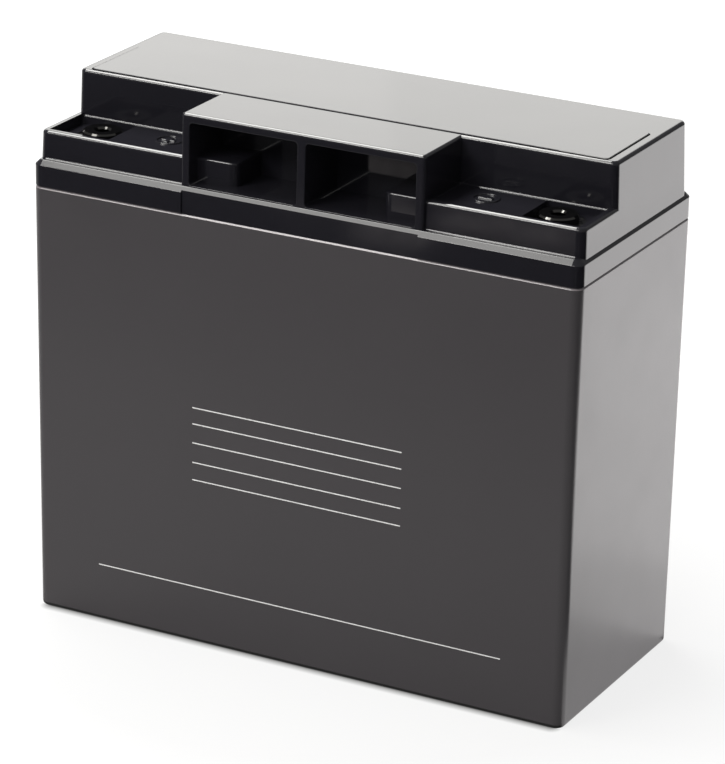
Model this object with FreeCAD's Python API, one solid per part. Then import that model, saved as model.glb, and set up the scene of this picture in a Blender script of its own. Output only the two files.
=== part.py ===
import FreeCAD, Part
import math
import os

# A sealed lead acid battery standing on its base. The length runs along X, the terminals
# face -Y, and the origin is the centre of the base. All sizes are millimetres.

Vector = FreeCAD.Vector

# Overall size
length = 181.0
width = 77.0
height = 167.0

# Container
container_draft_x = 0.85
container_draft_y = 0.65
corner_radius = 3.0
bottom_edge_radius = 1.2
joint_bevel = 0.4
container_wall = 3.0
container_floor = 3.0
cell_count = 6
partition = 1.7

# Tongue of the container in the groove of the lid
tongue_inset = 1.3
tongue_thickness = 1.4
tongue_height = 3.0
groove_clearance = 0.2
glue_thickness = 0.8

# Skirt of the lid, with the ledge on top of it
lid_height = 30.5
skirt_height = 8.3
skirt_edge_bevel = 1.5
skirt_edge_softening = 0.35
skirt_wall = 4.2
skirt_panel_margin = 1.0
skirt_panel_recess = 0.5

# Body of the lid, above the ledge
body_inset_x = 0.8
body_inset_y = 2.9
body_draft = 1.8
body_edge_radius = 1.1
lid_wall = 2.4
lid_embed = 2.0
ledge_cove = 0.6
floor_cove = 0.4
sill_cove = 0.3

# Terminal steps at the front corners, each with a rim round a sunk floor and a well in it
step_drop = 13.6
step_corner_radius = 2.5
step_rim_width = 2.0
step_rim_depth = 0.8
well_length = 19.2
well_front_margin = 1.6
well_back_margin = 0.8
well_depth = 2.4
well_radius = 1.0

# Main block behind the steps
main_setback = 24.7
main_corner_radius = 2.0

# Grip block between the steps, with two finger pockets
grip_half = 40.0
grip_setback = 1.5
grip_draft = 1.0
grip_edge_radius = 1.0
grip_post = 2.8
grip_rib = 2.8
grip_roof = 2.8
pocket_sill = 0.4
pocket_depth = 20.0
pocket_radius = 1.0
mouth_radius = 0.4
shelf_length = 13.2
shelf_setback = 5.2
shelf_corner_radius = 3.0
shelf_edge_radius = 0.8

# Cover plate let into the top
plate_inset = 4.2
plate_front_inset = 1.5
plate_width = 28.8
plate_thickness = 2.3
plate_proud = 0.3
plate_gap = 0.5
plate_bevel = 0.15
plate_corner_radius = 1.2
plate_ledge = 2.5
trough_depth = 8.0

# Vent tubes and their valve caps
tube_radius = 5.0
tube_bore = 3.0
tube_height = 5.2
cap_thickness = 1.3
cap_clearance = 0.1
cap_headroom = 0.2
cap_skirt_height = 2.6

# Terminals
terminal_end_margin = 15.0
terminal_front_margin = 16.0
terminal_head_radius = 6.0
terminal_head_height = 2.6
terminal_head_chamfer = 0.5
terminal_neck_radius = 4.9
terminal_neck_height = 6.4
thread_minor_radius = 2.1
thread_depth = 7.6
thread_countersink = 0.6
potting_radius = 8.0
potting_drop = 0.4
boss_wall = 2.5
boss_floor = 3.0
post_radius = 4.0
seal_thickness = 1.0

# Polarity marks on the step floors
mark_offset = 1.6
mark_radius = 4.2
mark_line = 0.7
mark_stroke_width = 1.2
mark_stroke_length = 4.4
mark_height = 0.35

# Plates, separators and what joins them, in each cell
positive_count = 4
negative_count = 5
positive_extra_thickness = 0.7
separator_thickness = 0.95
stack_clearance = 0.1
plate_side_clearance = 2.5
plate_foot_clearance = 1.0
separator_side_clearance = 0.5
separator_overlap = 3.0
lug_width = 9.0
lug_height = 6.0
strap_width = 12.0
strap_thickness = 5.0
strap_drop = 7.5
riser_thickness = 2.5
riser_height = 10.0
link_radius = 3.5
link_clearance = 0.05
link_top_margin = 1.0

# How far the tools that cut or join a shape run past its surface, and how near two places count as one
overrun = 1.0
same_place = 1e-3

# Places worked out from the sizes above
half_length = length / 2
half_width = width / 2
joint_height = height - lid_height
ledge_height = joint_height + skirt_height
body_half_x = half_length - body_inset_x
body_half_y = half_width - body_inset_y
step_height = height - step_drop
step_floor = step_height - step_rim_depth
well_floor = step_floor - well_depth
main_front = -half_width + main_setback
grip_front = -half_width + grip_setback
skirt_panel_half = grip_half - skirt_panel_margin
pocket_outer = grip_half - grip_post
pocket_inner = grip_rib / 2
pocket_floor = ledge_height + pocket_sill
pocket_ceiling = height - grip_roof
pocket_back = grip_front + pocket_depth
plate_half = body_half_x - plate_inset
plate_front = main_front + plate_front_inset
plate_back = plate_front + plate_width
plate_top = height + plate_proud
plate_underside = plate_top - plate_thickness
trough_floor = plate_underside - trough_depth
tube_y = (plate_front + plate_back) / 2
tube_top = trough_floor + tube_height
terminal_x = half_length - terminal_end_margin
terminal_y = terminal_front_margin - half_width
potting_top = well_floor - potting_drop
terminal_top = potting_top + terminal_head_height
terminal_bottom = potting_top - terminal_neck_height
boss_radius = potting_radius + boss_wall
boss_bottom = terminal_bottom - boss_floor
seal_radius = post_radius + seal_thickness
cell_width = (length - 2 * container_wall - (cell_count - 1) * partition) / cell_count
cell_depth = width - 2 * container_wall
plate_foot = container_floor + plate_foot_clearance
strap_top = joint_height - strap_drop
strap_bottom = strap_top - strap_thickness
stack_top = strap_bottom - lug_height
link_height = strap_bottom + riser_height - link_radius - link_top_margin
plate_count = positive_count + negative_count
separators_together = (plate_count - 1) * separator_thickness
plates_together = cell_width - 2 * stack_clearance - separators_together
negative_thickness = (plates_together - positive_count * positive_extra_thickness) / plate_count
positive_thickness = negative_thickness + positive_extra_thickness


# Shapes used by several pieces

def box(low, high):
    size = Vector(*high) - Vector(*low)
    return Part.makeBox(size.x, size.y, size.z, Vector(*low))


def cylinder(radius, x, y, bottom, top):
    return Part.makeCylinder(radius, top - bottom, Vector(x, y, bottom))


def tapered_block(foot, head):
    """A block between two level rectangles, each given as (x_range, y_range, z)."""
    (left, right), (front, back), bottom = foot
    (head_left, head_right), (head_front, head_back), top = head
    wedge = Part.makeWedge(left, bottom, -back, -head_back, head_left,
                           right, top, -front, -head_front, head_right)
    return wedge.rotated(Vector(0, 0, 0), Vector(1, 0, 0), 90)


def round_edges(solid, radius, wanted):
    """Round every edge whose two end points satisfy wanted."""
    edges = [edge for edge in solid.Edges if wanted(*[vertex.Point for vertex in edge.Vertexes])]
    return solid.makeFillet(radius, edges)


def bevel_edges(solid, size, wanted):
    """Cut a flat bevel on every edge whose two end points satisfy wanted."""
    edges = [edge for edge in solid.Edges if wanted(*[vertex.Point for vertex in edge.Vertexes])]
    return solid.makeChamfer(size, edges)


def is_upright(start, end):
    return abs(start.z - end.z) > 0.9 * (start - end).Length


def is_at_height(z):
    return lambda *points: all(abs(point.z - z) < same_place for point in points)


def lowest_x(*points):
    return min(point.x for point in points)


def lowest_y(*points):
    return min(point.y for point in points)


at_top = is_at_height(height)
at_step_top = is_at_height(step_height)
at_step_floor = is_at_height(step_floor)


def rounded_prism(inset, bottom, top):
    """A block that follows the outline of the case, set in from it."""
    block = box((inset - half_length, inset - half_width, bottom),
                (half_length - inset, half_width - inset, top))
    radius = corner_radius - inset
    if radius > 0:
        block = round_edges(block, radius, is_upright)
    return block


def case_ring(inset, thickness, bottom, top):
    """A ring that follows the outline of the case."""
    return rounded_prism(inset, bottom, top).cut(rounded_prism(inset + thickness, bottom, top))


def revolved(profile, x, y):
    """Turn a closed outline of (radius, height) points about the upright line through x, y."""
    outline = Part.makePolygon([Vector(radius, 0, z) for radius, z in profile + profile[:1]])
    solid = Part.Face(outline).revolve(Vector(0, 0, 0), Vector(0, 0, 1), 360)
    return solid.translated(Vector(x, y, 0))


def cell_range(cell):
    """The lowest and highest X of the space in a cell."""
    start = -half_length + container_wall + cell * (cell_width + partition)
    return start, start + cell_width


def cell_centre(cell):
    return sum(cell_range(cell)) / 2


def mirrored(solid):
    return solid.mirror(Vector(0, 0, 0), Vector(1, 0, 0))


# Container

def make_container():
    foot = ((container_draft_x - half_length, half_length - container_draft_x),
            (container_draft_y - half_width, half_width - container_draft_y), 0)
    head = ((-half_length, half_length), (-half_width, half_width), joint_height)
    shell = tapered_block(foot, head)
    shell = round_edges(shell, corner_radius, is_upright)
    shell = round_edges(shell, bottom_edge_radius, is_at_height(0))
    shell = bevel_edges(shell, joint_bevel, is_at_height(joint_height))
    tongue = case_ring(tongue_inset, tongue_thickness, joint_height - overrun,
                       joint_height + tongue_height)
    shell = shell.fuse(tongue)
    for cell in range(cell_count):
        left, right = cell_range(cell)
        shell = shell.cut(box((left, -cell_depth / 2, container_floor),
                              (right, cell_depth / 2, joint_height)))
    for cell in range(cell_count - 1):
        shell = shell.cut(link_cylinder(cell, link_radius + link_clearance))
    return shell.removeSplitter()


# Lid

def body_half_at(z):
    """Half the length of the lid's body at a height, with the draft of its walls."""
    return body_half_x - (z - ledge_height) * math.tan(math.radians(body_draft))


def body_back_at(z):
    return body_half_y - (z - ledge_height) * math.tan(math.radians(body_draft))


def cove(start, end, foot, head):
    """A concave fillet along X, where a floor that ends at foot meets a wall that starts at head.

    foot and head are (y, z) points, and the fillet curves between them."""
    (foot_y, foot_z), (head_y, head_z) = foot, head
    half_way = math.sqrt(0.5)
    middle = (foot_y + (head_y - foot_y) * half_way, head_z - (head_z - foot_z) * half_way)
    below = foot_z - overrun
    behind = head_y + overrun
    arc = Part.Arc(Vector(start, foot_y, foot_z), Vector(start, *middle), Vector(start, head_y, head_z))
    sides = Part.makePolygon([Vector(start, head_y, head_z), Vector(start, behind, head_z),
                              Vector(start, behind, below), Vector(start, foot_y, below),
                              Vector(start, foot_y, foot_z)])
    outline = Part.Wire([arc.toShape()] + sides.Edges)
    return Part.Face(outline).extrude(Vector(end - start, 0, 0))


def make_skirt():
    skirt = rounded_prism(0, joint_height, ledge_height)
    skirt = bevel_edges(skirt, skirt_edge_bevel, is_at_height(ledge_height))
    skirt = round_edges(skirt, skirt_edge_softening, is_at_height(ledge_height))
    skirt = round_edges(skirt, skirt_edge_softening, is_at_height(ledge_height - skirt_edge_bevel))
    skirt = bevel_edges(skirt, joint_bevel, is_at_height(joint_height))
    panel = box((-skirt_panel_half, -half_width - overrun, joint_height - overrun),
                (skirt_panel_half, -half_width + skirt_panel_recess, ledge_height + overrun))
    return skirt.cut(panel)


def make_steps():
    """The low block whose two ends show as the terminal steps."""
    foot_z = ledge_height - lid_embed
    back = main_front + main_corner_radius + step_rim_width
    foot = ((-body_half_at(foot_z), body_half_at(foot_z)), (-body_back_at(foot_z), back), foot_z)
    head = ((-body_half_at(step_height), body_half_at(step_height)),
            (-body_back_at(step_height), back), step_height)
    block = tapered_block(foot, head)
    block = round_edges(block, step_corner_radius, lambda a, b: is_upright(a, b) and a.y < main_front)
    return round_edges(block, body_edge_radius,
                       lambda *ends: at_step_top(*ends) and lowest_y(*ends) < main_front)


def make_main_block():
    foot_z = ledge_height - lid_embed
    foot = ((-body_half_at(foot_z), body_half_at(foot_z)), (main_front, body_back_at(foot_z)), foot_z)
    head = ((-body_half_at(height), body_half_at(height)), (main_front, body_back_at(height)), height)
    block = tapered_block(foot, head)
    block = round_edges(block, main_corner_radius, is_upright)
    return round_edges(block, body_edge_radius, at_top)


def make_grip_block():
    foot_z = ledge_height - lid_embed
    lean = (height - foot_z) * math.tan(math.radians(grip_draft))
    back = plate_front
    foot = ((-grip_half, grip_half), (grip_front, back), foot_z)
    head = ((-grip_half, grip_half), (grip_front + lean, back), height)
    block = tapered_block(foot, head)
    block = round_edges(block, grip_edge_radius, lambda a, b: is_upright(a, b) and a.y < main_front)
    return round_edges(block, grip_edge_radius,
                       lambda *ends: at_top(*ends) and lowest_y(*ends) < main_front)


def is_mouth_edge(*points):
    """Whether an edge lies on the grip's front, round one of the two finger pockets."""
    lean = math.tan(math.radians(grip_draft))
    foot_z = ledge_height - lid_embed
    return all(abs(point.y - grip_front - (point.z - foot_z) * lean) < same_place
               and pocket_floor - same_place < point.z < pocket_ceiling + same_place
               and abs(point.x) < pocket_outer + same_place for point in points)


def make_pocket():
    """The space of the right finger pocket, round the shelf at its outer end."""
    pocket = box((pocket_inner, -half_width - overrun, pocket_floor),
                 (pocket_outer, pocket_back, pocket_ceiling))
    pocket = round_edges(pocket, pocket_radius, lambda a, b: abs(a.y - b.y) > pocket_depth)
    shelf_front = grip_front + shelf_setback
    shelf_inner = pocket_outer - shelf_length
    shelf = box((shelf_inner, shelf_front, pocket_floor - overrun),
                (pocket_outer + overrun, pocket_back + overrun, step_floor))
    shelf = round_edges(shelf, shelf_corner_radius,
                        lambda a, b: is_upright(a, b) and a.x < pocket_outer and a.y < pocket_back)
    shelf = round_edges(shelf, shelf_edge_radius, lambda *ends: (
        at_step_floor(*ends) and lowest_x(*ends) < pocket_outer and lowest_y(*ends) < pocket_back))
    return pocket.cut(shelf)


def make_coves():
    """The concave fillets at the foot of the front walls, right of the middle and across the grip."""
    step_wall = -body_back_at(ledge_height + ledge_cove)
    corner = body_half_at(ledge_height) - step_corner_radius
    ledge = cove(grip_half - overrun, corner, (step_wall - ledge_cove, ledge_height),
                 (step_wall, ledge_height + ledge_cove))
    rim = body_half_at(step_height) - step_rim_width
    floor = cove(grip_half - overrun, rim + overrun, (main_front - floor_cove, step_floor),
                 (main_front, step_floor + floor_cove))
    rise = lid_embed + sill_cove
    grip_wall = grip_front + rise * math.tan(math.radians(grip_draft))
    foot_y = grip_wall - sill_cove
    drop = max(0, skirt_edge_bevel - half_width - foot_y)
    side = grip_half - grip_edge_radius
    sill = cove(-side, side, (foot_y, ledge_height - drop), (grip_wall, ledge_height + sill_cove))
    return [ledge, mirrored(ledge), floor, mirrored(floor), sill]


def make_step_cuts():
    """The sunk floor of the right step, and the well round its terminal."""
    outer = body_half_at(step_height) - step_rim_width
    floor_front = step_rim_width - body_back_at(step_height)
    floor = box((grip_half, floor_front, step_floor),
                (outer, main_front, step_height + overrun))
    well = box((outer - well_length, floor_front + well_front_margin, well_floor),
               (outer, main_front - well_back_margin, step_height + overrun))
    well = round_edges(well, well_radius, is_upright)
    return floor.fuse(well)


def make_top_recess():
    """The seat of the cover plate, and the trough under it that the vent tubes stand in."""
    seat = box((-plate_half - plate_gap, plate_front - plate_gap, plate_underside),
               (plate_half + plate_gap, plate_back + plate_gap, height + overrun))
    seat = round_edges(seat, plate_corner_radius + plate_gap, is_upright)
    trough = box((plate_ledge - plate_half, plate_front + plate_ledge, trough_floor),
                 (plate_half - plate_ledge, plate_back - plate_ledge, height))
    return seat.fuse(trough)


def make_head_space(cell):
    """The hollow under the lid above one cell."""
    left, right = cell_range(cell)
    left = max(left, skirt_wall - half_length)
    right = min(right, half_length - skirt_wall)
    front = -body_half_y + lid_wall
    is_end = cell in (0, cell_count - 1)
    low_ceiling = (well_floor if is_end else pocket_floor) - lid_wall
    low = box((left, front, joint_height - overrun), (right, -front, low_ceiling))
    high = box((left, main_front + lid_wall, joint_height), (right, -front, trough_floor - lid_wall))
    space = low.fuse(high)
    if is_end:
        side = math.copysign(terminal_x, left)
        space = space.cut(cylinder(boss_radius, side, terminal_y, boss_bottom, well_floor))
    return space


def make_polarity_mark(x, bars):
    """A raised ring with the bars of a plus or a minus sign in it."""
    bottom = step_floor - overrun
    top = step_floor + mark_height
    solids = [sleeve(mark_radius - mark_line, mark_radius, x, bottom, top)]
    for long_x, long_y in bars:
        solids.append(box((x - long_x / 2, terminal_y - long_y / 2, bottom),
                          (x + long_x / 2, terminal_y + long_y / 2, top)))
    return solids


def make_lid():
    lid = make_skirt().multiFuse([make_steps(), make_main_block(), make_grip_block()]).removeSplitter()
    pocket = make_pocket()
    lid = lid.cut(pocket).cut(mirrored(pocket))
    lid = round_edges(lid, mouth_radius, is_mouth_edge)
    step_cuts = make_step_cuts()
    lid = lid.cut(step_cuts).cut(mirrored(step_cuts)).cut(make_top_recess())
    tubes = [cylinder(tube_radius, cell_centre(cell), tube_y, trough_floor - overrun, tube_top)
             for cell in range(cell_count)]
    across = (mark_stroke_length, mark_stroke_width)
    along = (mark_stroke_width, mark_stroke_length)
    well_inner = body_half_at(step_height) - step_rim_width - well_length
    mark_x = (grip_half + well_inner) / 2 - mark_offset
    marks = make_polarity_mark(-mark_x, [across, along]) + make_polarity_mark(mark_x, [across])
    lid = lid.multiFuse(tubes + marks + make_coves())
    for cell in range(cell_count):
        lid = lid.cut(make_head_space(cell))
        lid = lid.cut(cylinder(tube_bore, cell_centre(cell), tube_y, joint_height, tube_top))
    for side in (-terminal_x, terminal_x):
        lid = lid.cut(cylinder(potting_radius, side, terminal_y, terminal_bottom, well_floor))
        lid = lid.cut(cylinder(seal_radius, side, terminal_y, boss_bottom, terminal_bottom))
    groove_top = joint_height + tongue_height + glue_thickness
    groove = case_ring(tongue_inset - groove_clearance, tongue_thickness + 2 * groove_clearance,
                       joint_height, groove_top)
    return lid.cut(groove)


def make_lid_glue():
    bottom = joint_height + tongue_height
    return case_ring(tongue_inset - groove_clearance, tongue_thickness + 2 * groove_clearance,
                     bottom, bottom + glue_thickness)


def make_cover_plate():
    plate = box((-plate_half, plate_front, plate_underside), (plate_half, plate_back, plate_top))
    plate = round_edges(plate, plate_corner_radius, is_upright)
    return bevel_edges(plate, plate_bevel, is_at_height(plate_top))


def make_valve_cap(cell):
    inner = tube_radius + cap_clearance
    outer = inner + cap_thickness
    top = plate_underside - cap_headroom
    bottom = tube_top - cap_skirt_height
    profile = [(0, tube_top), (inner, tube_top), (inner, bottom), (outer, bottom), (outer, top), (0, top)]
    return revolved(profile, cell_centre(cell), tube_y)


# Terminals

def make_terminal(x):
    sink = thread_minor_radius + thread_countersink
    thread_floor = terminal_top - thread_depth
    shoulder = terminal_head_radius - terminal_head_chamfer
    profile = [
        (0, terminal_bottom), (terminal_neck_radius, terminal_bottom), (terminal_neck_radius, potting_top),
        (terminal_head_radius, potting_top), (terminal_head_radius, terminal_top - terminal_head_chamfer),
        (shoulder, terminal_top), (sink, terminal_top),
        (thread_minor_radius, terminal_top - thread_countersink), (thread_minor_radius, thread_floor),
        (0, thread_floor),
    ]
    return revolved(profile, x, terminal_y)


def sleeve(inner, outer, x, bottom, top):
    """A tube on a terminal's upright line."""
    return cylinder(outer, x, terminal_y, bottom, top).cut(cylinder(inner, x, terminal_y, bottom, top))


def make_potting(x):
    return sleeve(terminal_neck_radius, potting_radius, x, terminal_bottom, potting_top)


def make_seal(x):
    return sleeve(post_radius, seal_radius, x, boss_bottom, terminal_bottom)


def make_post(x):
    return cylinder(post_radius, x, terminal_y, strap_top, terminal_bottom)


# Plate stacks

def stack_places(cell):
    """The lowest X and the thickness of each negative, then each positive plate of a cell."""
    pitch = positive_thickness + negative_thickness + 2 * separator_thickness
    start = cell_range(cell)[0] + stack_clearance
    negatives = [(start + pitch * i, negative_thickness) for i in range(negative_count)]
    offset = negative_thickness + separator_thickness
    positives = [(start + offset + pitch * i, positive_thickness) for i in range(positive_count)]
    return negatives, positives


def lug_side(cell, is_positive):
    """The Y of a group's lugs: the two groups of a cell face opposite ways, cell by cell."""
    is_front = (cell % 2 == 0) == is_positive
    return terminal_y if is_front else -terminal_y


def make_plate_group(cell, is_positive):
    places = stack_places(cell)[1 if is_positive else 0]
    y = lug_side(cell, is_positive)
    plate_side = cell_depth / 2 - plate_side_clearance
    lug_front = y - lug_width / 2
    lug_back = y + lug_width / 2
    strap_front = y - strap_width / 2
    strap_back = y + strap_width / 2
    solids = []
    for x, thickness in places:
        solids.append(box((x, -plate_side, plate_foot), (x + thickness, plate_side, stack_top)))
        solids.append(box((x, lug_front, stack_top), (x + thickness, lug_back, strap_bottom)))
    left, right = cell_range(cell)
    strap_left = places[0][0]
    strap_right = places[-1][0] + places[-1][1]
    links_left = is_positive and cell > 0
    links_right = not is_positive and cell < cell_count - 1
    riser_top = strap_bottom + riser_height
    if links_left:
        strap_left = left
        riser_end = left + riser_thickness
        solids.append(box((left, strap_front, strap_bottom), (riser_end, strap_back, riser_top)))
    if links_right:
        strap_right = right
        riser_start = right - riser_thickness
        solids.append(box((riser_start, strap_front, strap_bottom), (right, strap_back, riser_top)))
    solids.append(box((strap_left, strap_front, strap_bottom), (strap_right, strap_back, strap_top)))
    return solids[0].multiFuse(solids[1:]).removeSplitter()


def make_separators(cell):
    half = cell_depth / 2 - separator_side_clearance
    top = stack_top + separator_overlap
    negatives, positives = stack_places(cell)
    sheets = []
    for x, thickness in sorted(negatives + positives)[:-1]:
        start = x + thickness
        sheets.append(box((start, -half, container_floor), (start + separator_thickness, half, top)))
    return Part.makeCompound(sheets)


def link_cylinder(cell, radius):
    """The weld through the wall between a cell and the next one."""
    y = lug_side(cell, False)
    start = cell_range(cell)[1]
    return Part.makeCylinder(radius, partition, Vector(start, y, link_height), Vector(1, 0, 0))


def make_nodes():
    nodes = {
        "container": make_container(),
        "lid": make_lid(),
        "lid_glue": make_lid_glue(),
        "cover_plate": make_cover_plate(),
    }
    for sign, x in (("positive", -terminal_x), ("negative", terminal_x)):
        nodes["terminal_" + sign] = make_terminal(x)
        nodes["terminal_potting_" + sign] = make_potting(x)
        nodes["terminal_seal_" + sign] = make_seal(x)
        nodes["post_" + sign] = make_post(x)
    for cell in range(cell_count):
        number = str(cell + 1)
        nodes["valve_cap_" + number] = make_valve_cap(cell)
        nodes["positive_group_" + number] = make_plate_group(cell, True)
        nodes["negative_group_" + number] = make_plate_group(cell, False)
        nodes["separators_" + number] = make_separators(cell)
    for cell in range(cell_count - 1):
        nodes["cell_link_" + str(cell + 1)] = link_cylinder(cell, link_radius)
    return nodes


os.makedirs("parts", exist_ok=True)
for name, shape in make_nodes().items():
    shape.exportStep("parts/" + name + ".step")
    box_size = shape.BoundBox
    print(name, len(shape.Solids), shape.isValid(), round(shape.Volume / 1000, 3), "cm3",
          round(box_size.XLength, 2), round(box_size.YLength, 2), round(box_size.ZLength, 2))
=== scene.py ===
import math

import bpy
from mathutils import Matrix, Vector


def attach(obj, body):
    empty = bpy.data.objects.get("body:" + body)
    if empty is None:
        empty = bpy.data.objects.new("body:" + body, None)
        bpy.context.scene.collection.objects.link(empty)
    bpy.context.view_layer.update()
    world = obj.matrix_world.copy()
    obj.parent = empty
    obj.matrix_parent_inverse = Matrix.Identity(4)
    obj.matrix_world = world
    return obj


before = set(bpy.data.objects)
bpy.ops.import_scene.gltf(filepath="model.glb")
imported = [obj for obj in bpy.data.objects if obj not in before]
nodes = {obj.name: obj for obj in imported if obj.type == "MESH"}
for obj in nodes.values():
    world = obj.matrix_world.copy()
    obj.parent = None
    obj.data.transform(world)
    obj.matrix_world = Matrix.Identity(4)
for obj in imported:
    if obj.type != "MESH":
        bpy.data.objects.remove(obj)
bpy.context.view_layer.update()

# The camera, fitted to the photograph's edges; lengths are in metres here and below
CAMERA_AZIMUTH = math.radians(27.71)
CAMERA_ELEVATION = math.radians(20.763)
CAMERA_ROLL = math.radians(1.205)
CAMERA_DISTANCE = 1.221935
CAMERA_SHIFT = (0.001934, -0.000909)
CAMERA_CLIP = (0.05, 50.0)
AIM_HEIGHT = 0.080
FOCAL_PIXELS = 4048.062
PHOTO_LONG_SIDE = 764
SENSOR_WIDTH = 36.0

# The lamps: the place of each one's middle, the point it faces, its two sides and its radiance
LAMPS = {
    "back_softbox": ((-0.50, 0.98, 0.545), (0.0, 0.0, 0.16), (1.7, 0.42), 1.80),
    "back_softbox_left": ((-0.90, 0.92, 0.545), (0.0, 0.0, 0.16), (0.8, 0.42), 0.09),
    "top_strip": ((-0.49, 0.175, 1.05), (-0.49, 0.175, 0.0), (0.38, 0.95), 12.5),
    "top_strip_front": ((-0.49, -0.525, 1.05), (-0.49, -0.525, 0.0), (0.38, 0.45), 4.3),
    "front_strip": ((-0.60, -1.00, 0.90), (0.0, 0.0, 0.15), (0.50, 0.12), 18.0),
    "front_softbox": ((-0.30, -1.25, 1.25), (0.0, 0.0, 0.08), (1.3, 0.7), 3.9),
    "right_glow_near": ((0.1105, 0.0, 0.0004), (0.1105, 0.0, 1.0), (0.043, 0.072), 0.69),
    "right_glow": ((0.195, 0.368, 0.0006), (0.195, 0.368, 1.0), (0.208, 0.664), 0.97),
    "right_glow_middle": ((0.203, 0.3925, 0.0012), (0.203, 0.3925, 1.0), (0.192, 0.615), 0.38),
    "right_glow_far": ((0.209, 0.450, 0.0018), (0.209, 0.450, 1.0), (0.180, 0.50), 0.18),
    "right_glow_side": ((0.389, 0.460, 0.0006), (0.389, 0.460, 1.0), (0.180, 0.48), 1.64),
}

# A lamp of radiance one gives this much power for each square metre
POWER_PER_AREA = 4.0

# The tint of the lamps that hang, and of those that glow on the floor at the right
LAMP_TINT = (1.0, 0.99, 0.955)
GLOW_NAME = "right_glow"
GLOW_TINT = (1.0, 0.976, 0.98)

# The world's light on the object, and the white that the camera sees behind it
WORLD_FILL = 0.30
WHITE = 1.0

# The floor that lights the object
FLOOR_SIZE = 6.0
FLOOR_ALBEDO = 0.40
FLOOR_MOTTLE = 0.98
FLOOR_MOTTLE_SCALE = 3.0

# What the camera sees of the floor: a faint shadow on a white that lifts with the distance
SEEN_FLOOR_ALBEDO = 0.10
SEEN_FLOOR_LIFT = (0.83, 1.0)
SEEN_FLOOR_REACH = (0.10, 0.22)

# The shadow where the front meets the floor: half the foot's two sides, its reach and its darkest share
FOOT_HALF = (0.0858, 0.0367)
CONTACT_REACH = 0.0038
CONTACT_SHARE = 0.12

# Cards on the floor, outside the photograph: the left front corner, the right back one and a colour
FLOOR_CARDS = (
    ((-1.10, -1.10), (0.262, -0.26), (0.025, 0.025, 0.028)),
    ((-1.10, -0.26), (0.262, -0.036), (0.20, 0.20, 0.205)),
    ((0.274, -1.10), (0.80, -0.045), (0.025, 0.025, 0.028)),
    ((0.14, -0.045), (0.31, 0.034), (0.025, 0.025, 0.028)),
    ((0.31, -0.045), (0.80, 0.25), (0.025, 0.025, 0.028)),
    ((-0.195, -0.537), (-0.128, -0.522), (0.95, 0.89, 0.91)),
    ((-0.176, -0.424), (-0.144, -0.398), (0.52, 0.49, 0.50)),
    ((-0.228, -0.458), (-0.182, -0.428), (0.34, 0.32, 0.33)),
)
CARD_STEP = 0.0002
CARD_MOTTLE = 0.8
CARD_MOTTLE_SCALE = 40.0

# The range that most of a noise's values keep to, and a bound well past the part for a band open on one side
NOISE_MIDDLE = (0.3, 0.7)
FAR = 1.0

# The sockets of a Mix node that mixes colours: the factor, the two colours, and the result
MIX_INPUTS = (0, 6, 7)
MIX_RESULT = 2

# The share of a speck of dust that has its full tone
DUST_CORE = 0.4

# The lid's glossy plastic
LID_DARK = (0.0088, 0.0085, 0.0113)
LID_LIGHT = (0.0128, 0.0124, 0.0163)
LID_DUST = (0.34, 0.34, 0.35)
LID_ROUGHNESS = (0.07, 0.11)
LID_INDEX = 1.52

# The heights between which the cover plate's edge stands proud, with a dull flank, and a pale painted
# highlight on its right end
PLATE_EDGE_BAND = (0.16704, 0.16728)
PLATE_EDGE_DULLING = 0.45
PLATE_RIGHT_END = 0.070
PLATE_END_HIGHLIGHT_TONE = (0.16, 0.16, 0.16)

# The heights between which the two raised polarity marks lie, and how wide their edges catch the light
MARKS_BAND = (0.15263, 0.15300)
MARKS_SOFT_EDGE = 0.0004
BEVEL_SAMPLES = 6

# The case's satin plastic
CASE_DARK = (0.0475, 0.0433, 0.0475)
CASE_LIGHT = (0.0525, 0.0477, 0.0525)
CASE_DUST = (0.30, 0.30, 0.30)
CASE_ROUGHNESS = (0.300, 0.330)
CASE_INDEX = 1.68

# The container's edge under the lid, which is smoother than its grained sides, with a paler tone painted on
# as a painted highlight
JOINT_EDGE_FOOT = 0.1361
JOINT_EDGE_HIGHLIGHT_TONE = (0.20, 0.18, 0.19)
JOINT_EDGE_POLISH = 0.12

# The container's rounded bottom edge at the front, in its own shadow: its highest and its rearmost point
BOTTOM_EDGE_HEAD = 0.0013
BOTTOM_EDGE_BACK = -0.0340
BOTTOM_EDGE_TONE = (0.008, 0.008, 0.008)

# The terminals' tinned metal, its colour darkened far below tin's own as painted shade for their dark wells
SHADED_TIN_DARK = (0.075, 0.073, 0.070)
SHADED_TIN_LIGHT = (0.115, 0.113, 0.108)
TIN_ROUGHNESS = (0.08, 0.14)

# The duller materials, by slot: a name, two tones and their scale, a roughness, the grain's scale and height,
# and a last value of one for metal
DULL_MATERIALS = {
    "potting": ("epoxy", (0.010, 0.010, 0.011), (0.018, 0.018, 0.018), 120.0, 0.22, 300.0, 0.00006),
    "adhesive": ("adhesive", (0.16, 0.15, 0.13), (0.24, 0.22, 0.19), 160.0, 0.35, 500.0, 0.00006),
    "rubber": ("rubber", (0.016, 0.016, 0.017), (0.028, 0.028, 0.028), 200.0, 0.62, 1800.0, 0.00004),
    "lead": ("lead", (0.22, 0.23, 0.25), (0.36, 0.37, 0.39), 180.0, 0.48, 900.0, 0.00006, 1.0),
    "positive_plate": ("positive_paste", (0.050, 0.026, 0.018), (0.092, 0.050, 0.034),
                       240.0, 0.80, 2200.0, 0.00008),
    "negative_plate": ("negative_paste", (0.16, 0.17, 0.18), (0.27, 0.28, 0.29),
                       240.0, 0.72, 2200.0, 0.00008),
    "glass_mat": ("glass_mat", (0.66, 0.66, 0.63), (0.80, 0.80, 0.78), 300.0, 0.88, 3000.0, 0.0001),
}
INK = ("ink", (0.70, 0.70, 0.70), (0.80, 0.80, 0.80), 400.0, 0.5, 900.0, 0.00001)

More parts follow.
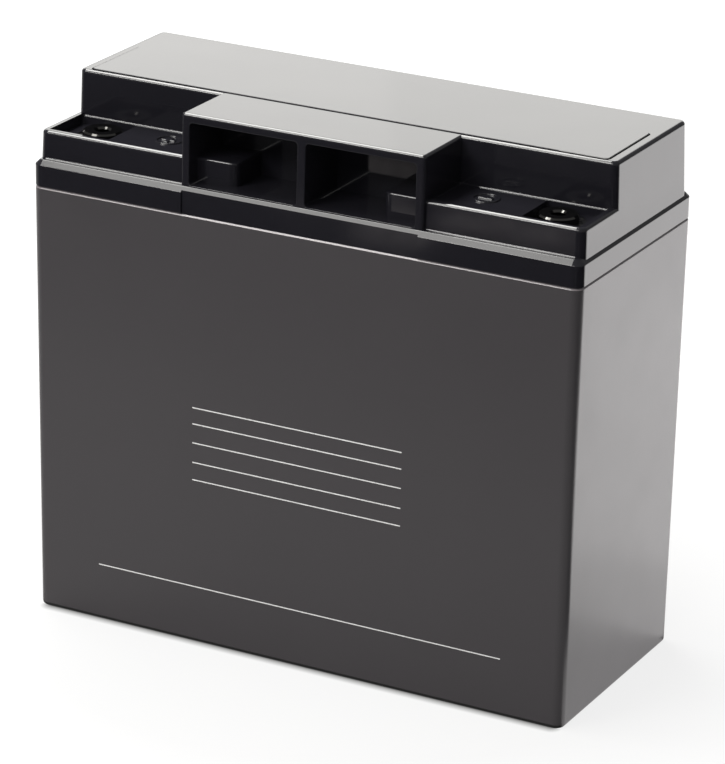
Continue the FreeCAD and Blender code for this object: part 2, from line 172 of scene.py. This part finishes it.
# How the duller materials' roughness swings, on a finer scale than their tones, and how strong their grain is
ROUGHNESS_SWING = 0.06
ROUGHNESS_SCALE_RATIO = 2.7
GRAIN_STRENGTH = 0.6

# The pale rules printed on the front: where each one starts and ends along X, and its height
RULES = (
    (-0.0348, 0.0356, 0.0765),
    (-0.0348, 0.0356, 0.0713),
    (-0.0348, 0.0356, 0.0652),
    (-0.0348, 0.0356, 0.0589),
    (-0.0348, 0.0356, 0.0533),
    (-0.0678, 0.0694, 0.0184),
)
RULE_WIDTH = 0.00036
INK_THICKNESS = 0.00002

# The container's front leans out from its foot to the joint under the lid
FRONT_FOOT_Y = -0.03785
FRONT_HEAD_Y = -0.0385
FRONT_HEAD_Z = 0.1365


def camera_axes():
    """The camera's right, up and backward directions, in the part's own frame."""
    back = Vector((math.sin(CAMERA_AZIMUTH) * math.cos(CAMERA_ELEVATION),
                   -math.cos(CAMERA_AZIMUTH) * math.cos(CAMERA_ELEVATION),
                   math.sin(CAMERA_ELEVATION)))
    level = (-back).cross(Vector((0.0, 0.0, 1.0))).normalized()
    upright = level.cross(-back)
    right = math.cos(CAMERA_ROLL) * level + math.sin(CAMERA_ROLL) * upright
    up = -math.sin(CAMERA_ROLL) * level + math.cos(CAMERA_ROLL) * upright
    return right, up, back


def add_object(name, data):
    """A new object that shows a mesh, a lamp or a camera, in the scene."""
    thing = bpy.data.objects.new(name, data)
    bpy.context.scene.collection.objects.link(thing)
    return thing


def add_camera():
    right, up, back = camera_axes()
    data = bpy.data.cameras.new("camera")
    data.sensor_width = SENSOR_WIDTH
    data.lens = FOCAL_PIXELS / PHOTO_LONG_SIDE * SENSOR_WIDTH
    data.clip_start, data.clip_end = CAMERA_CLIP
    camera = add_object("camera", data)
    place = back * CAMERA_DISTANCE + right * CAMERA_SHIFT[0] + up * CAMERA_SHIFT[1]
    place += Vector((0.0, 0.0, AIM_HEIGHT))
    turn = Matrix((right, up, back)).transposed().to_4x4()
    camera.matrix_world = Matrix.Translation(place) @ turn
    bpy.context.scene.camera = camera


def add_lamps():
    """Rectangular lamps, each with its own radiance whatever its size."""
    for name, (place, target, sides, radiance) in LAMPS.items():
        data = bpy.data.lights.new(name, "AREA")
        data.shape = "RECTANGLE"
        data.size, data.size_y = sides
        data.energy = radiance * POWER_PER_AREA * sides[0] * sides[1]
        data.color = GLOW_TINT if name.startswith(GLOW_NAME) else LAMP_TINT
        lamp = add_object(name, data)
        facing = (Vector(target) - Vector(place)).to_track_quat("-Z", "Y")
        lamp.matrix_world = Matrix.Translation(place) @ facing.to_matrix().to_4x4()
        lamp.visible_camera = False


def add_world():
    """A dim even light on the object, and plain white for the camera."""
    world = bpy.data.worlds.new("world")
    bpy.context.scene.world = world
    world.use_nodes = True
    tree = world.node_tree
    tree.nodes.clear()
    path = tree.nodes.new("ShaderNodeLightPath")
    strength = tree.nodes.new("ShaderNodeMix")
    strength.data_type = "FLOAT"
    strength.inputs["A"].default_value = WORLD_FILL
    strength.inputs["B"].default_value = WHITE
    background = tree.nodes.new("ShaderNodeBackground")
    output = tree.nodes.new("ShaderNodeOutputWorld")
    tree.links.new(path.outputs["Is Camera Ray"], strength.inputs["Factor"])
    tree.links.new(strength.outputs["Result"], background.inputs["Strength"])
    tree.links.new(background.outputs["Background"], output.inputs["Surface"])


def opaque(colour):
    return (*colour, 1.0)


def grey(tone):
    return opaque((tone, tone, tone))


class Nodes:
    """A short way to write a material's node tree."""

    def __init__(self, name):
        self.material = bpy.data.materials.new(name)
        self.material.use_nodes = True
        self.tree = self.material.node_tree
        self.tree.nodes.clear()
        self.output = self.tree.nodes.new("ShaderNodeOutputMaterial")

    def feed(self, socket, value):
        """Links another node's output to a socket, or sets a plain value on it."""
        if isinstance(value, bpy.types.NodeSocket):
            self.tree.links.new(value, socket)
        else:
            socket.default_value = value

    def add(self, kind, values=None, **settings):
        node = self.tree.nodes.new(kind)
        for key, value in settings.items():
            setattr(node, key, value)
        for key, value in (values or {}).items():
            self.feed(node.inputs[key], value)
        return node

    def position(self):
        return self.add("ShaderNodeTexCoord").outputs["Object"]

    def noise(self, scale, detail=2.0, roughness=0.5):
        values = {"Vector": self.position(), "Scale": scale, "Detail": detail, "Roughness": roughness}
        return self.add("ShaderNodeTexNoise", values).outputs["Fac"]

    def spread(self, value, target, source=(0.0, 1.0)):
        """Carries a value from one range over to another."""
        values = {"Value": value, "From Min": source[0], "From Max": source[1],
                  "To Min": target[0], "To Max": target[1]}
        return self.add("ShaderNodeMapRange", values).outputs["Result"]

    def math(self, operation, first, second=0.0):
        return self.add("ShaderNodeMath", {0: first, 1: second}, operation=operation).outputs[0]

    def band(self, limits, axis="Z"):
        """One between two heights, or two places along another axis, and nought elsewhere."""
        place = self.add("ShaderNodeSeparateXYZ", {"Vector": self.position()}).outputs[axis]
        above = self.math("GREATER_THAN", place, limits[0])
        below = self.math("LESS_THAN", place, limits[1])
        return self.math("MULTIPLY", above, below)

    def blend(self, factor, first, second):
        """Mixes two colours, each a node's output or a plain colour."""
        node = self.add("ShaderNodeMix", data_type="RGBA")
        for index, value in zip(MIX_INPUTS, (factor, first, second)):
            self.feed(node.inputs[index], value)
        return node.outputs[MIX_RESULT]

    def bump(self, height, distance, strength, normal=None):
        values = {"Height": height, "Distance": distance, "Strength": strength}
        if normal is not None:
            values["Normal"] = normal
        return self.add("ShaderNodeBump", values).outputs["Normal"]

    def show(self, shader):
        """Makes a shader the one that the surface shows, and returns the material."""
        self.tree.links.new(shader.outputs[0], self.output.inputs["Surface"])
        return self.material

    def principled(self, values):
        return self.show(self.add("ShaderNodeBsdfPrincipled", values))


def dust(tree, cell, share, size):
    """A mask of small specks: one cell in a few holds a speck at its middle."""
    voronoi = tree.add("ShaderNodeTexVoronoi", {"Vector": tree.position(), "Scale": 1.0 / cell},
                       feature="F1", distance="EUCLIDEAN")
    near = tree.spread(voronoi.outputs["Distance"], (1.0, 0.0), (size * DUST_CORE, size))
    chosen = tree.math("LESS_THAN", voronoi.outputs["Color"], share)
    return tree.math("MULTIPLY", near, chosen)


def gloss_plastic():
    """The lid's black moulded plastic: glossy, with a faint swirl and a little dust."""
    tree = Nodes("gloss_plastic")
    swirl = tree.noise(scale=38.0, detail=3.0, roughness=0.55)
    base = tree.blend(swirl, opaque(LID_DARK), opaque(LID_LIGHT))
    specks = dust(tree, cell=0.011, share=0.16, size=0.022)
    base = tree.blend(specks, base, opaque(LID_DUST))
    roughness = tree.spread(tree.noise(scale=90.0, detail=4.0), LID_ROUGHNESS, NOISE_MIDDLE)
    flank = tree.band(PLATE_EDGE_BAND)
    roughness = tree.math("ADD", roughness, tree.math("MULTIPLY", flank, PLATE_EDGE_DULLING))
    # A pale painted highlight on the flank's right end
    end_highlight = tree.math("MULTIPLY", flank, tree.band((PLATE_RIGHT_END, FAR), "X"))
    base = tree.blend(end_highlight, base, opaque(PLATE_END_HIGHLIGHT_TONE))
    radius = tree.math("MULTIPLY", tree.band(MARKS_BAND), MARKS_SOFT_EDGE)
    soft = tree.add("ShaderNodeBevel", {"Radius": radius}, samples=BEVEL_SAMPLES).outputs["Normal"]
    wave = tree.bump(tree.noise(scale=22.0, detail=1.0), distance=0.0004, strength=0.35, normal=soft)
    return tree.principled({"Base Color": base, "Roughness": roughness, "Normal": wave, "IOR": LID_INDEX})


def satin_plastic():
    """The case's black moulded plastic: a fine even grain with a satin sheen."""
    tree = Nodes("satin_plastic")
    cloud = tree.noise(scale=16.0, detail=4.0, roughness=0.6)
    base = tree.blend(cloud, opaque(CASE_DARK), opaque(CASE_LIGHT))
    specks = dust(tree, cell=0.013, share=0.14, size=0.02)
    base = tree.blend(specks, base, opaque(CASE_DUST))
    roughness = tree.spread(tree.noise(scale=70.0, detail=4.0), CASE_ROUGHNESS, NOISE_MIDDLE)
    # The edge under the lid: smoother, and paler as a painted highlight
    smooth_edge_and_highlight = tree.band((JOINT_EDGE_FOOT, FAR))
    base = tree.blend(smooth_edge_and_highlight, base, opaque(JOINT_EDGE_HIGHLIGHT_TONE))
    roughness = tree.math("SUBTRACT", roughness, tree.math("MULTIPLY", smooth_edge_and_highlight, JOINT_EDGE_POLISH))
    low = tree.band((-FAR, BOTTOM_EDGE_HEAD))
    front = tree.band((-FAR, BOTTOM_EDGE_BACK), "Y")
    base = tree.blend(tree.math("MULTIPLY", low, front), base, opaque(BOTTOM_EDGE_TONE))
    grain = tree.bump(tree.noise(scale=2600.0), distance=0.00003, strength=0.35)
    return tree.principled({"Base Color": base, "Roughness": roughness, "Normal": grain, "IOR": CASE_INDEX})


def tinned_metal():
    """The terminals' metal: tinned brass with a fine mottle, darkened as painted shade for their wells."""
    tree = Nodes("tinned_brass")
    base = tree.blend(tree.noise(scale=260.0, detail=3.0), opaque(SHADED_TIN_DARK), opaque(SHADED_TIN_LIGHT))
    roughness = tree.spread(tree.noise(scale=600.0, detail=3.0), TIN_ROUGHNESS, NOISE_MIDDLE)
    marks = tree.bump(tree.noise(scale=3200.0, detail=1.0), distance=0.000004, strength=0.3)
    return tree.principled({"Base Color": base, "Roughness": roughness, "Metallic": 1.0, "Normal": marks})


def dull_material(name, first, second, scale, roughness, grain_scale, grain_height, metallic=0.0):
    """A dull surface whose colour wanders between two tones, over a grain of its own scale."""
    tree = Nodes(name)
    tone = tree.spread(tree.noise(scale, detail=4.0, roughness=0.6), (0.0, 1.0), NOISE_MIDDLE)
    base = tree.blend(tone, opaque(first), opaque(second))
    swing = (roughness - ROUGHNESS_SWING, roughness + ROUGHNESS_SWING)
    rough = tree.spread(tree.noise(scale * ROUGHNESS_SCALE_RATIO, detail=3.0), swing, NOISE_MIDDLE)
    grain = tree.bump(tree.noise(grain_scale, detail=3.0), grain_height, GRAIN_STRENGTH)
    return tree.principled({"Base Color": base, "Roughness": rough, "Metallic": metallic, "Normal": grain})


def make_materials():
    materials = {
        "case": satin_plastic(),
        "lid": gloss_plastic(),
        "terminal_metal": tinned_metal(),
    }
    for slot_name, values in DULL_MATERIALS.items():
        materials[slot_name] = dull_material(*values)
    return materials


def dress_nodes(materials):
    """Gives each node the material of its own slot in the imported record."""
    for node in nodes.values():
        slot_name = node.data.materials[0].name
        node.data.materials[0] = materials[slot_name]


def level_sheet(name, near_corner, far_corner, height):
    """A level rectangle as a mesh, from its left front corner to its right back one."""
    left, front = near_corner
    right, back = far_corner
    corners = [(left, front, height), (right, front, height), (right, back, height), (left, back, height)]
    mesh = bpy.data.meshes.new(name)
    mesh.from_pydata(corners, [], [(0, 1, 2, 3)])
    return mesh


def contact_shadow(tree):
    """One over the floor, falling to a small share where the foot's front edge meets it."""
    place = tree.add("ShaderNodeSeparateXYZ", {"Vector": tree.position()}).outputs
    ahead = tree.math("SUBTRACT", tree.math("MULTIPLY", place["Y"], -1.0), FOOT_HALF[1])
    aside = tree.math("SUBTRACT", tree.math("ABSOLUTE", place["X"]), FOOT_HALF[0])
    aside = tree.math("MAXIMUM", aside, 0.0)
    corner = tree.add("ShaderNodeCombineXYZ", {"X": ahead, "Y": aside}).outputs[0]
    gap = tree.add("ShaderNodeVectorMath", {0: corner}, operation="LENGTH").outputs["Value"]
    behind = tree.math("LESS_THAN", ahead, 0.0)
    return tree.math("MAXIMUM", behind, tree.spread(gap, (CONTACT_SHARE, 1.0), (0.0, CONTACT_REACH)))


def add_floor():
    """The floor: a grey that lights the object, and for the camera a white with a faint shadow."""
    half = FLOOR_SIZE / 2
    mesh = level_sheet("floor", (-half, -half), (half, half), 0.0)
    floor = add_object("floor", mesh)
    tree = Nodes("floor")
    paper = tree.blend(tree.noise(FLOOR_MOTTLE_SCALE), grey(FLOOR_ALBEDO), grey(FLOOR_ALBEDO * FLOOR_MOTTLE))
    real = tree.add("ShaderNodeBsdfDiffuse", {"Color": paper})
    shade = tree.add("ShaderNodeBsdfDiffuse", {"Color": grey(SEEN_FLOOR_ALBEDO)})
    distance = tree.add("ShaderNodeVectorMath", {0: tree.position()}, operation="LENGTH").outputs["Value"]
    lift = tree.spread(distance, SEEN_FLOOR_LIFT, SEEN_FLOOR_REACH)
    lift = tree.math("MULTIPLY", lift, contact_shadow(tree))
    glow = tree.add("ShaderNodeEmission", {"Strength": lift})
    seen = tree.add("ShaderNodeAddShader", {0: shade.outputs[0], 1: glow.outputs[0]})
    path = tree.add("ShaderNodeLightPath")
    both = tree.add("ShaderNodeMixShader",
                    {0: path.outputs["Is Camera Ray"], 1: real.outputs[0], 2: seen.outputs[0]})
    mesh.materials.append(tree.show(both))


def add_floor_cards():
    """Cards on the floor, outside the photograph, that the part's faces mirror."""
    for number, (near_corner, far_corner, colour) in enumerate(FLOOR_CARDS):
        mesh = level_sheet("floor_card", near_corner, far_corner, CARD_STEP * (number + 1))
        tree = Nodes("floor_card")
        darker = tuple(part * CARD_MOTTLE for part in colour)
        felt = tree.blend(tree.noise(CARD_MOTTLE_SCALE), opaque(darker), opaque(colour))
        mesh.materials.append(tree.show(tree.add("ShaderNodeBsdfDiffuse", {"Color": felt})))
        card = add_object("floor_card", mesh)
        card.visible_camera = False
        card.visible_shadow = False
        card.visible_diffuse = False


def front_y(z):
    """The Y of the container's front at a height, with the ink's thickness in front of it."""
    return FRONT_FOOT_Y + (FRONT_HEAD_Y - FRONT_FOOT_Y) * z / FRONT_HEAD_Z - INK_THICKNESS


def add_print():
    """The rules printed on the front, as thin pale strips."""
    corners = []
    faces = []
    for left, right, height in RULES:
        low = height - RULE_WIDTH / 2
        high = height + RULE_WIDTH / 2
        first = len(corners)
        corners += [(left, front_y(low), low), (right, front_y(low), low),
                    (right, front_y(high), high), (left, front_y(high), high)]
        faces.append((first, first + 1, first + 2, first + 3))
    mesh = bpy.data.meshes.new("front_print")
    mesh.from_pydata(corners, [], faces)
    mesh.materials.append(dull_material(*INK))
    ink = add_object("front_print", mesh)
    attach(ink, "root")


bpy.context.scene.view_settings.view_transform = "Standard"
add_camera()
add_world()
add_lamps()
add_floor()
add_floor_cards()
dress_nodes(make_materials())
add_print()

bpy.context.view_layer.update()
